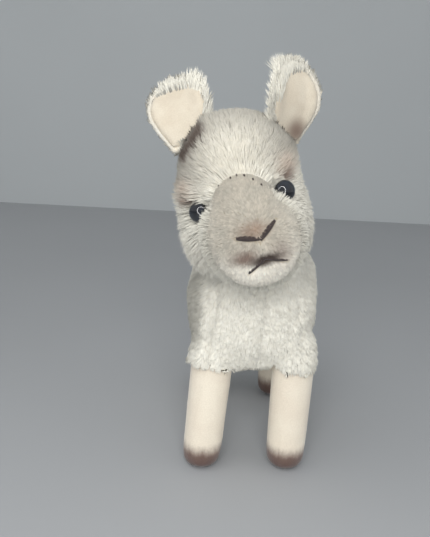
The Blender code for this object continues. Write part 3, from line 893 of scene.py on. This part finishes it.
def pile_head(head, face, body, eyes, finish):
    def weight(places):
        return 0.7 + 0.6 * soft_step(-to_head(places)[:, 1], -0.010, 0.020)
    spots, facing = scatter(head, 38000, 11, weight)
    keep = clear_of_eyes(spots, eyes, 0.0069) & (to_head(spots)[:, 2] > 0.001)
    spots, facing = spots[keep], facing[keep]
    keep = ~under(spots, facing, [tree_of(face), tree_of(body)])
    keep &= ((facing @ HEAD_ROWS)[:, 2] > -0.65) | (to_head(spots)[:, 2] > 0.006)
    spots, facing = spots[keep], facing[keep]
    local = to_head(spots)
    flat = local[:, [0, 2]]
    along = head_combing(local, facing) @ HEAD_ROWS.T
    front = soft_step(-local[:, 1], 0.0, 0.02)
    top = soft_step(local[:, 2], 0.045, 0.062)
    right = soft_step(-local[:, 0], 0.012, 0.026) * (1 - soft_step(local[:, 2], 0.044, 0.058))
    right *= soft_step(local[:, 2], 0.001, 0.013)
    left = soft_step(local[:, 0], 0.016, 0.030) * (1 - top)
    near_eye = front * np.maximum(
        spot_share(flat, (-0.0285, 0.0400), 0.008), spot_share(flat, (0.0255, 0.0385), 0.008))
    arc = line_share(flat, SEAM_ARC, 0.0045) * front
    brow_lift = spot_share(flat, (-0.001, 0.060), 0.014) * front
    root = spot_share(flat, (-0.0110, 0.0860), 0.006)
    length = 0.0070 + 0.0050 * right + 0.0008 * left + 0.0030 * root + 0.0014 * arc
    inner = front * np.maximum(
        spot_share(flat, (-0.0190, 0.0475), 0.005), spot_share(flat, (0.0150, 0.0475), 0.004))
    length = length * (1 - 0.35 * near_eye - 0.35 * inner)
    lift = 0.74 + 0.36 * right - 0.05 * left - 0.10 * brow_lift + 0.3 * root
    brow = spot_share(flat, (-0.001, 0.062), 0.017) * front
    # The head is painted grey as shade, most on its top and least on the lit brow; the brow's fur is also
    # cream
    tint = tinted(FUR, (0.20 + 0.75 * top) * (1 - 0.9 * brow), PAINTED_SHADE_GREY)
    tint = tinted(tint, 0.4 * brow, FUR_CREAM)
    for share, place, radius, colour in (
            (0.6, (0.0230, 0.0520), 0.0055, PINKISH), (0.5, (-0.0285, 0.0520), 0.0050, PINKISH),
            (0.85, (0.0220, 0.0468), 0.0032, BROWN), (0.8, (-0.0285, 0.0465), 0.0030, BROWN)):
        tint = tinted(tint, share * spot_share(flat, place, radius) * front, colour)
    # Along the right ear's fold the fur is painted dark brown: airbrush and painted shade
    fold = line_share(flat, EAR_FOLD, 0.0036) * (local[:, 1] < -0.004)
    tint = tinted(tint, 0.85 * fold, FOLD_BROWN_AND_SHADE)
    tint = tinted(tint, 0.5 * spot_share(flat, (0.0372, 0.0684), 0.007), BROWN)
    halves = (("crown_pile", local[:, 2] >= 0.050, 21), ("cheek_pile", local[:, 2] < 0.050, 22))
    for name, part, seed in halves:
        piece = lay_strands(
            name, spots, facing, along, length, 0.00080, lift, tint, seed, part,
            pull=0.45, each=11, mottle=0.07)
        hand_over(piece, finish)


def pile_face(face, head, eyes, finish, fur_finish):
    """Fuzz that lies away from the nose, and longer fur where the face meets the cheeks."""
    def weight(places):
        return soft_step(-to_head(places)[:, 1], 0.030, 0.040)
    spots, facing = scatter(face, 46000, 71, weight)
    keep = clear_of_eyes(spots, eyes, 0.0078)
    spots, facing = spots[keep], facing[keep]
    keep = ~under(spots, facing, [tree_of(head)])
    spots, facing = spots[keep], facing[keep]
    local = to_head(spots)
    fan = local - np.array((0.001, -0.075, 0.032))
    along = unit(fan) @ HEAD_ROWS.T
    inward = facing @ HEAD_ROWS
    edge = soft_step(inward[:, 1], -0.50, -0.10) * (1 - soft_step(local[:, 2], 0.038, 0.048))
    flat = local[:, [0, 2]]
    keep = np.min([line_gap(flat, line[:2]) for line in STITCHES.values()], axis=0) > 0.0012
    spots, facing, local, along, edge = (rows[keep] for rows in (spots, facing, local, along, edge))
    piece = lay_strands(
        "face_pile", spots, facing, along, 0.0025, 0.00052, 0.65, np.ones((len(spots), 3)), 72,
        pull=0.5, sink=0.0003, shape=STRAIGHT, each=6, mottle=0.16)
    hand_over(piece, finish)
    some = np.random.default_rng(74).random(len(spots)) < 0.55 * edge
    some &= clear_of_eyes(spots, eyes, 0.0125)
    tint = tinted(FUR, 0.55 - 0.35 * edge, FACE_TONE)
    below = 1 - soft_step(local[:, 2], 0.004, 0.020)
    tint = tinted(tint, below * 0.6, FUR)
    piece = lay_strands(
        "face_rim_pile", spots, facing, along, 0.0040 + 0.0028 * edge, 0.00070,
        0.70 + 0.35 * edge, tint, 75, some, sink=0.0004)
    hand_over(piece, fur_finish)


def pile_body(body, blockers, finish):
    def weight(places):
        return 0.75 + 0.6 * (1 - soft_step(places[:, 1], -0.020, 0.010))
    spots, facing = scatter(body, 96000, 31, weight)
    keep = np.ones(len(spots), dtype=bool)
    for leg in LEGS:
        low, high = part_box(leg)
        x, y = (low.x + high.x) / 2, (low.y + high.y) / 2
        keep &= (np.hypot(spots[:, 0] - x, spots[:, 1] - y) > 0.0165) | (facing[:, 2] > -0.45)
    spots, facing = spots[keep], facing[keep]
    keep = ~under(spots, facing, blockers)
    spots, facing = spots[keep], facing[keep]
    back = soft_step(spots[:, 1], -0.010, 0.030)[:, None]
    along = np.array((0, 0.15, -1.0)) * (1 - back) + np.array((0, 0.75, -0.75)) * back
    flat = spots[:, [0, 2]]
    ahead = 1 - soft_step(spots[:, 1], -0.040, -0.028)
    lines = [share * line_share(flat, line, 0.0014) for line, _, share in CHEST_LINES]
    seam = ahead * np.max(lines, axis=0)
    hem = 1 - soft_step(spots[:, 2], 0.066, 0.080)
    front_half = 1 - soft_step(spots[:, 1], -0.020, 0.010)
    # The left flank behind the chest is painted darker as shade where it recedes from the light
    flank = (1 - soft_step(spots[:, 0], -0.020, -0.013)) * soft_step(spots[:, 1], -0.0515, -0.045)
    flank *= soft_step(spots[:, 2], 0.078, 0.094) * front_half
    tint = tinted(FUR, 0.85 * flank, shade(176, 174, 165))
    # Along the chest's seams and folds the pile is painted darker as shade in the groove
    tint = tint * (1 - 0.24 * seam[:, None])
    length = 0.0060 - 0.0022 * hem - 0.0018 * seam
    lift = 0.38 + 0.9 * soft_step(-facing[:, 2], 0.3, 0.8) - 0.1 * seam
    round_off = 0.5 + 0.5 * soft_step(-facing[:, 2], 0.55, 0.95)
    front = spots[:, 1] < 0.004
    rear = spots[:, 1] >= 0.052
    parts = (("chest_pile", front, 41), ("flank_pile", ~front & ~rear, 42), ("rump_pile", rear, 43))
    for name, part, seed in parts:
        piece = lay_strands(
            name, spots, facing, along, length, 0.00100, lift, tint, seed, part,
            pull=0.5, round_off=round_off, shape=STRAIGHT, each=16, mottle=0.06)
        hand_over(piece, finish)


def ear_turn(side):
    lean, turn, tip_back = EAR_POSES[side]
    tilt = Matrix.Rotation(math.radians(lean), 3, "Y") @ Matrix.Rotation(math.radians(-tip_back), 3, "X")
    return np.array(HEAD_TURN @ tilt @ Matrix.Rotation(math.radians(-turn), 3, "Z"))


def ear_origin(side):
    """The root of an ear in its own frame: X across, -Y out of its lining, Z up along it."""
    places = points_of(nodes[side + "_ear_lining"]) @ ear_turn(side)
    low, high = places.min(0), places.max(0)
    return np.array(((low[0] + high[0]) / 2, high[1], low[2] - LINING_FOOT))


def to_ear(side, places):
    """Across towards the head's middle, ahead and up, in metres from the ear's root."""
    local = places @ ear_turn(side) - ear_origin(side)
    local[:, 0] *= 1 if side == "right" else -1
    return local


def rim_line(side, across):
    """The height above which the lining's edge is covered by the rim's pile."""
    if side == "right":
        return 0.0300 - 0.0010 * np.cosh(np.clip((across + 0.004) / 0.0062, -2, 3.4))
    return 0.0345 - 0.0012 * np.cosh(np.clip((across + 0.006) / 0.0052, -2, 3.4))


def pile_ear(side, ear, lining, head, finish, seed):
    """Long pile on the back and the rim of an ear. On its front it ends at the lining's seam."""
    turn = ear_turn(side)
    spots, facing = scatter(ear, 9000, seed)
    over, over_facing = scatter(lining, 5000, seed + 3)
    keep = outside(spots, tree_of(lining), 0.0006)
    spots, facing = spots[keep], facing[keep]
    local = to_ear(side, over)
    front = (over_facing @ turn)[:, 1]
    edge = local[:, 2] - rim_line(side, local[:, 0])
    keep = (front < -0.2) & ((edge > 0) | (front > -0.8))
    spots = np.concatenate([spots, over[keep]])
    facing = np.concatenate([facing, over_facing[keep]])
    keep = outside(spots, tree_of(head), -0.002)
    spots, facing = spots[keep], facing[keep]
    local = to_ear(side, spots)
    toward = (facing @ turn)[:, 1]
    ahead = toward < 0.0
    round_off = 1 - 0.4 * soft_step(-toward, 0.6, 0.95)
    outer = soft_step(-local[:, 0], 0.006, 0.014)
    inner = soft_step(local[:, 0], 0.004, 0.012)
    lean = np.tile((0.0, 0.0, 1.0), (len(spots), 1))
    lean[:, 0] = local[:, 0] * (22 + 24 * inner) * (1 if side == "right" else -1)
    along = unit(lean) @ turn.T
    top = soft_step(local[:, 2], 0.018, 0.034)
    top_growth, bare_top = (0.0014, 0.022) if side == "right" else (0.0008, 0.032)
    length = (0.0046 + top_growth * top + 0.0036 * inner * ahead) * (1 - 0.60 * outer * ahead)
    bare = soft_step(-local[:, 0], 0.002, 0.008) * ahead
    bare = bare * (1 - soft_step(local[:, 2], bare_top - 0.003, bare_top + 0.003))
    length = length * (1 - 0.45 * bare)
    over_seam = np.maximum(local[:, 2] - rim_line(side, local[:, 0]), 0)
    seam = ahead * np.exp(-(over_seam / 0.0009) ** 2) * (1 - bare)
    # The ear's pile is painted a little grey as shade, except on its inner band
    tint = tinted(FUR, 0.15 * (1 - inner), PAINTED_SHADE_GREY)
    tint = tinted(tint, 0.85 * bare, VELOUR)
    tint = tint * (1 - (0.62 - 0.42 * inner)[:, None] * seam[:, None])
    at_head = to_head(spots)[:, [0, 2]]
    if side == "left":
        tint = tinted(tint, 0.75 * spot_share(at_head, (0.0350, 0.0700), 0.008) * ahead, BROWN)
    else:
        # Along the fold at the root the pile is painted dark brown: airbrush and painted shade
        tint = tinted(tint, 0.8 * line_share(at_head, EAR_FOLD, 0.003) * ahead, FOLD_BROWN_AND_SHADE)
    piece = lay_strands(
        side + "_ear_pile", spots, facing, along, length, 0.0008, 0.42, tint, seed + 1,
        pull=0.45, round_off=round_off, each=12, mottle=0.07)
    hand_over(piece, finish)


def pile_tail(tail, body, finish):
    spots, facing = scatter(tail, 3200, 61)
    keep = ~under(spots, facing, [tree_of(body)])
    spots, facing = spots[keep], facing[keep]
    along = np.tile((0.0, 0.45, -1.0), (len(spots), 1))
    tint = np.tile(FUR, (len(spots), 1))
    piece = lay_strands("tail_pile", spots, facing, along, 0.0075, 0.0010, 0.5, tint, 62)
    hand_over(piece, finish)


# Eyes and stitches

def eye_place(node):
    """The middle of an eye's rim and its outward axis, from the frame's shank end and dome top."""
    places = points_of(nodes[node])
    gaps = np.linalg.norm(places[:, None] - places[None, :], axis=2)
    ends = [Vector(places[index]) for index in np.unravel_index(gaps.argmax(), gaps.shape)]
    ends.sort(key=lambda place: (place - from_head((0, 0, 0.045))).length)
    axis = (ends[1] - ends[0]).normalized()
    return ends[1] - axis * EYE_DOME, axis


def make_eye(node, name, finish):
    """A polished dome with a rounded rim, and a shank under it. Returns its place and axis."""
    place, axis = eye_place(node)
    bpy.ops.object.select_all(action="DESELECT")
    bpy.ops.mesh.primitive_uv_sphere_add(segments=48, ring_count=24, radius=EYE_RADIUS, location=(0, 0, 0))
    eye = bpy.context.object
    eye.name = name
    places = points_of(eye)
    above = places[:, 2] > 0
    places[:, 2] *= np.where(above, EYE_DOME, EYE_UNDERSIDE) / EYE_RADIUS
    core = (~above) & (np.hypot(places[:, 0], places[:, 1]) < SHANK_RADIUS)
    places[core, 2] = -SHANK_LENGTH
    move_points(eye, places)
    eye.data.transform(Matrix.Translation(place) @ axis.to_track_quat("Z", "Y").to_matrix().to_4x4())
    eye.data.shade_smooth()
    hand_over(eye, finish, [node])
    return place, axis


def recess_eyes(cover, eyes, radius):
    """The cloth lies flat under each eye."""
    places = points_of(cover)
    for place, axis in eyes:
        height, aside = from_axis(places, place, axis)
        near = (1 - soft_step(aside, radius, radius + 0.0035)) * (np.abs(height) < 0.012)
        places -= (np.maximum(height + 0.0008, 0) * near)[:, None] * np.array(axis)
    move_points(cover, places)


def on_face(tree, x, z):
    """Where a place across and up in the head's frame lies on the face, and its normal."""
    start = from_head((x, AHEAD_OF_FACE, z))
    place, normal, _, _ = tree.ray_cast(start, HEAD_TURN @ Vector((0, 1, 0)))
    return place, normal


def make_stitch(node, name, tree, start, end, sewing, finish):
    """A satin stitch: threads that lie side by side from hole to hole, crowned in the middle."""
    threads, spread, radius = sewing
    tubes = []
    for number in range(threads):
        offset = (number / (threads - 1) - 0.5) * 2
        curve = bpy.data.curves.new(name, "CURVE")
        curve.dimensions = "3D"
        curve.bevel_depth = radius
        curve.bevel_resolution = 2
        curve.resolution_u = 6
        curve.use_fill_caps = True
        line = curve.splines.new("NURBS")
        count = 9
        line.points.add(count - 1)
        line.use_endpoint_u = True
        line.order_u = 4
        first, last = Vector(start), Vector(end)
        across = (last - first).orthogonal().normalized()
        for index in range(count):
            share = index / (count - 1)
            swell = math.sin(math.pi * min(max(share, 0.05), 0.95)) ** 0.3
            flat = first.lerp(last, share) + across * (offset * spread * 0.8 * swell)
            place, normal = on_face(tree, flat.x, flat.y)
            lift = 0.0008 * swell * (1 - 0.55 * offset * offset) - 0.0004 * (1 - swell)
            line.points[index].co = (*(place + normal * lift), 1)
        tubes.append(add_object(name if not tubes else name + "_part", curve))
    choose(*tubes)
    bpy.ops.object.convert(target="MESH")
    bpy.ops.object.join()
    piece = bpy.context.object
    piece.name = name
    edit_all(piece)
    bpy.ops.mesh.remove_doubles(threshold=0.00002)
    bpy.ops.mesh.normals_make_consistent(inside=False)
    bpy.ops.object.mode_set(mode="OBJECT")
    piece.data.shade_smooth()
    hand_over(piece, finish, [node])


def make_seam_stitches(name, trees, places, finish):
    """Short stitches across the forehead seam: one modelled, then copied."""
    bpy.ops.object.select_all(action="DESELECT")
    bpy.ops.mesh.primitive_uv_sphere_add(segments=8, ring_count=6, radius=0.0005)
    first = bpy.context.object
    bpy.ops.transform.resize(value=(1, 1, 2.2))
    bpy.ops.object.transform_apply(location=False, rotation=False, scale=True)
    copies = [first]
    for x, z in places:
        found = [on_face(tree, x, z) for tree in trees]
        place, normal = min((hit for hit in found if hit[0]), key=lambda hit: to_head(hit[0])[1])
        item = add_object(name, first.data.copy())
        item.data.transform(Matrix.Translation(place + normal * 0.0007) @ HEAD_TURN.to_4x4())
        copies.append(item)
    bpy.data.objects.remove(copies.pop(0))
    join(*copies)
    piece = bpy.context.object
    piece.name = name
    piece.data.shade_smooth()
    hand_over(piece, finish)


# The toy

camera = add_camera()
add_world()
add_lamp("top_lamp", (-0.35, -0.45, 1.05), (0, 0, 0.12), 0.9, 2.5)
add_lamp("front_lamp", (-0.03, -0.60, 0.40), (0.01, 0, 0.11), 0.42, 2.6)
add_ring_lamp(camera)
add_floor()

pile = pile_finish()
backing = backing_finish()
velour = velour_finish()
plastic = eye_finish()
thread = thread_finish()
washer = washer_finish()

body = make_body()
head = make_head()
face = make_plain_cover("face", "face_cover", 0.0022, 4, -0.0010)
tail = make_plain_cover("tail", "tail_cover", 0.0022, 3, -0.0012)
legs = [make_plain_cover(leg, leg + "_cover", 0.0026, 3, -0.0008) for leg in LEGS]
ears = {}
linings = {}
for side in SIDES:
    ears[side] = make_plain_cover(side + "_ear_back", side + "_ear_cover", 0.0012, 3, 0.0)
    linings[side] = make_plain_cover(side + "_ear_lining", side + "_ear_lining_cover", 0.0014, 3, 0.0009)

stuff([(body, 0.0014), (head, 0.0012), (face, 0.0006), (tail, 0.001)]
      + [(leg, 0.0008) for leg in legs] + [(linings[side], 0.0006) for side in linings])

narrow_bridge(face)
eyes = [make_eye(side + "_eye", side + "_eye_dome", plastic) for side in SIDES]
recess_eyes(head, eyes, 0.0070)
recess_eyes(face, eyes, 0.0098)

for cover in (body, head, face, tail, *legs):
    subdivide(cover, 1)
for leg in legs:
    flatten_sole(leg)
for cover in (body, head, face, tail, *legs, *ears.values(), *linings.values()):
    cover.data.shade_smooth()

face_tree = tree_of(face)
for cover, node, slot, finish, fill in (
        (body, "body", "long_fur", backing, 0.7),
        (head, "head", "long_fur", backing, 0.75),
        (face, "face", "short_pile", face_finish("beige_short_pile", False), 0.75),
        (tail, "tail", "long_fur", backing, 0.6)):
    hand_over(cover, finish, [node])
for leg, node in zip(legs, LEGS):
    hand_over(leg, velour, [node])
# Spots on the ear linings: on the right, brown airbrush and painted shade in the fold at the root; on the
# left, a brown airbrush patch
shading = {
    "right": tuple(
        ((x, 0.0, z), (0.0070, 0.03, 0.0070), shade(58, 44, 42), 0.9)
        for x, z in ((-0.0135, 0.0800), (-0.0205, 0.0735), (-0.0275, 0.0670))),
    "left": (((0.0380, 0.0, 0.0680), (0.0100, 0.03, 0.0110), shade(122, 96, 84), 0.85),)}
for side in SIDES:
    hand_over(ears[side], backing, [side + "_ear_back"])
    velour_inside = lining_finish(side + "_ear_velour", shading[side])
    hand_over(linings[side], velour_inside, [side + "_ear_lining"])
    node = nodes[side + "_eye_washer"]
    node.data.materials.clear()
    node.data.materials.append(washer)

pile_head(head, face, body, eyes, pile)
pile_face(face, head, eyes, face_finish("beige_fuzz", True), pile)
pile_body(body, [tree_of(head)], pile)
for side, seed in (("left", 51), ("right", 55)):
    pile_ear(side, ears[side], linings[side], head, pile, seed)
pile_tail(tail, body, pile)

for name, line in STITCHES.items():
    make_stitch(name + "_stitch", name + "_thread", face_tree, *line, thread)
make_seam_stitches("forehead_seam_thread", [face_tree, tree_of(head)], SEAM_STITCHES, thread)

bpy.context.scene.view_settings.view_transform = "Standard"
